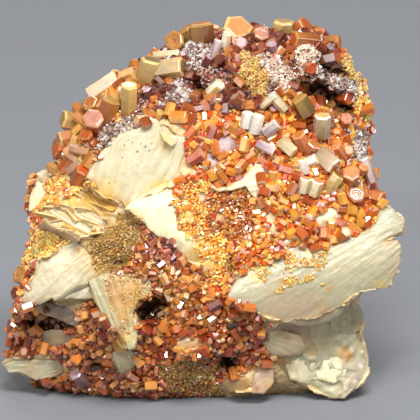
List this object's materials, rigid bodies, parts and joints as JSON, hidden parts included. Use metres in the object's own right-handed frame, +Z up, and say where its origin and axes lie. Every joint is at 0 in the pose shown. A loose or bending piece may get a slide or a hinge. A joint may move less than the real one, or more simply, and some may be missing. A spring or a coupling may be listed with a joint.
{
  "type": "vanadinite crystals on baryte matrix",
  "caption": "Mineral specimen: stout hexagonal orange-brown crystals and crusts of small crystals on a mass of white baryte blades, standing on a flat foot.",
  "frame": {"origin": "middle of the footprint on the plane that the flat foot rests on", "axes": "+X to the right along the width, +Y into the specimen away from its crystal-covered face, +Z up"},
  "size_m": [0.0468, 0.0277, 0.0424],
  "materials": {
    "baryte": "pearly white to cream blades on rough ochre rock",
    "vanadinite": "smooth bright crystal faces, tan to orange-brown",
    "crystal_crust": "sparkling crust of small orange crystals"
  },
  "bodies": {
    "root": {"amber_prisms": "vanadinite", "amber_top": "vanadinite", "baryte_matrix": "baryte", "block_left": "vanadinite", "brown_left": "vanadinite", "brown_top_pair": "vanadinite", "cream_bar": "vanadinite", "cream_olive": "vanadinite", "cream_square": "vanadinite", "cream_squares": "vanadinite", "crust_back": "crystal_crust", "crust_back_low": "crystal_crust", "crust_bottom": "crystal_crust", "crust_centre": "crystal_crust", "crust_left_edge": "crystal_crust", "crust_left_rim": "crystal_crust", "crust_lower_left": "crystal_crust", "crust_middle_left": "crystal_crust", "crust_right_edge": "crystal_crust", "crust_top": "crystal_crust", "crust_top_rim": "crystal_crust", "crust_upper_right": "crystal_crust", "dark_red": "vanadinite", "hex_end_left": "vanadinite", "house_prism": "vanadinite", "lavender_bar_mid": "vanadinite", "lavender_bar_top": "vanadinite", "lavender_bars": "vanadinite", "lavender_face": "vanadinite", "lavender_low": "vanadinite", "left_edge_low": "vanadinite", "left_edge_orange": "vanadinite", "olive_hexagon": "vanadinite", "olive_top": "vanadinite", "orange_block": "vanadinite", "orange_hexagon": "vanadinite", "orange_hidden": "vanadinite", "orange_left": "vanadinite", "orange_pair": "vanadinite", "pale_plate": "vanadinite", "peach_hexagon": "vanadinite", "pink_bar": "vanadinite", "pink_bars_low": "vanadinite", "pink_plate": "vanadinite", "pink_plate_low": "vanadinite", "pink_stepped": "vanadinite", "right_edge_prism": "vanadinite", "shiny_white": "vanadinite", "small_top": "vanadinite", "striped_prism": "vanadinite", "tan_cluster": "vanadinite", "tan_crystal": "vanadinite", "tan_hexagon": "vanadinite", "tan_slabs": "vanadinite", "white_bar": "vanadinite", "white_group": "vanadinite", "white_twin": "vanadinite", "yellow_orange_group": "vanadinite"}
  },
  "joints": []
}
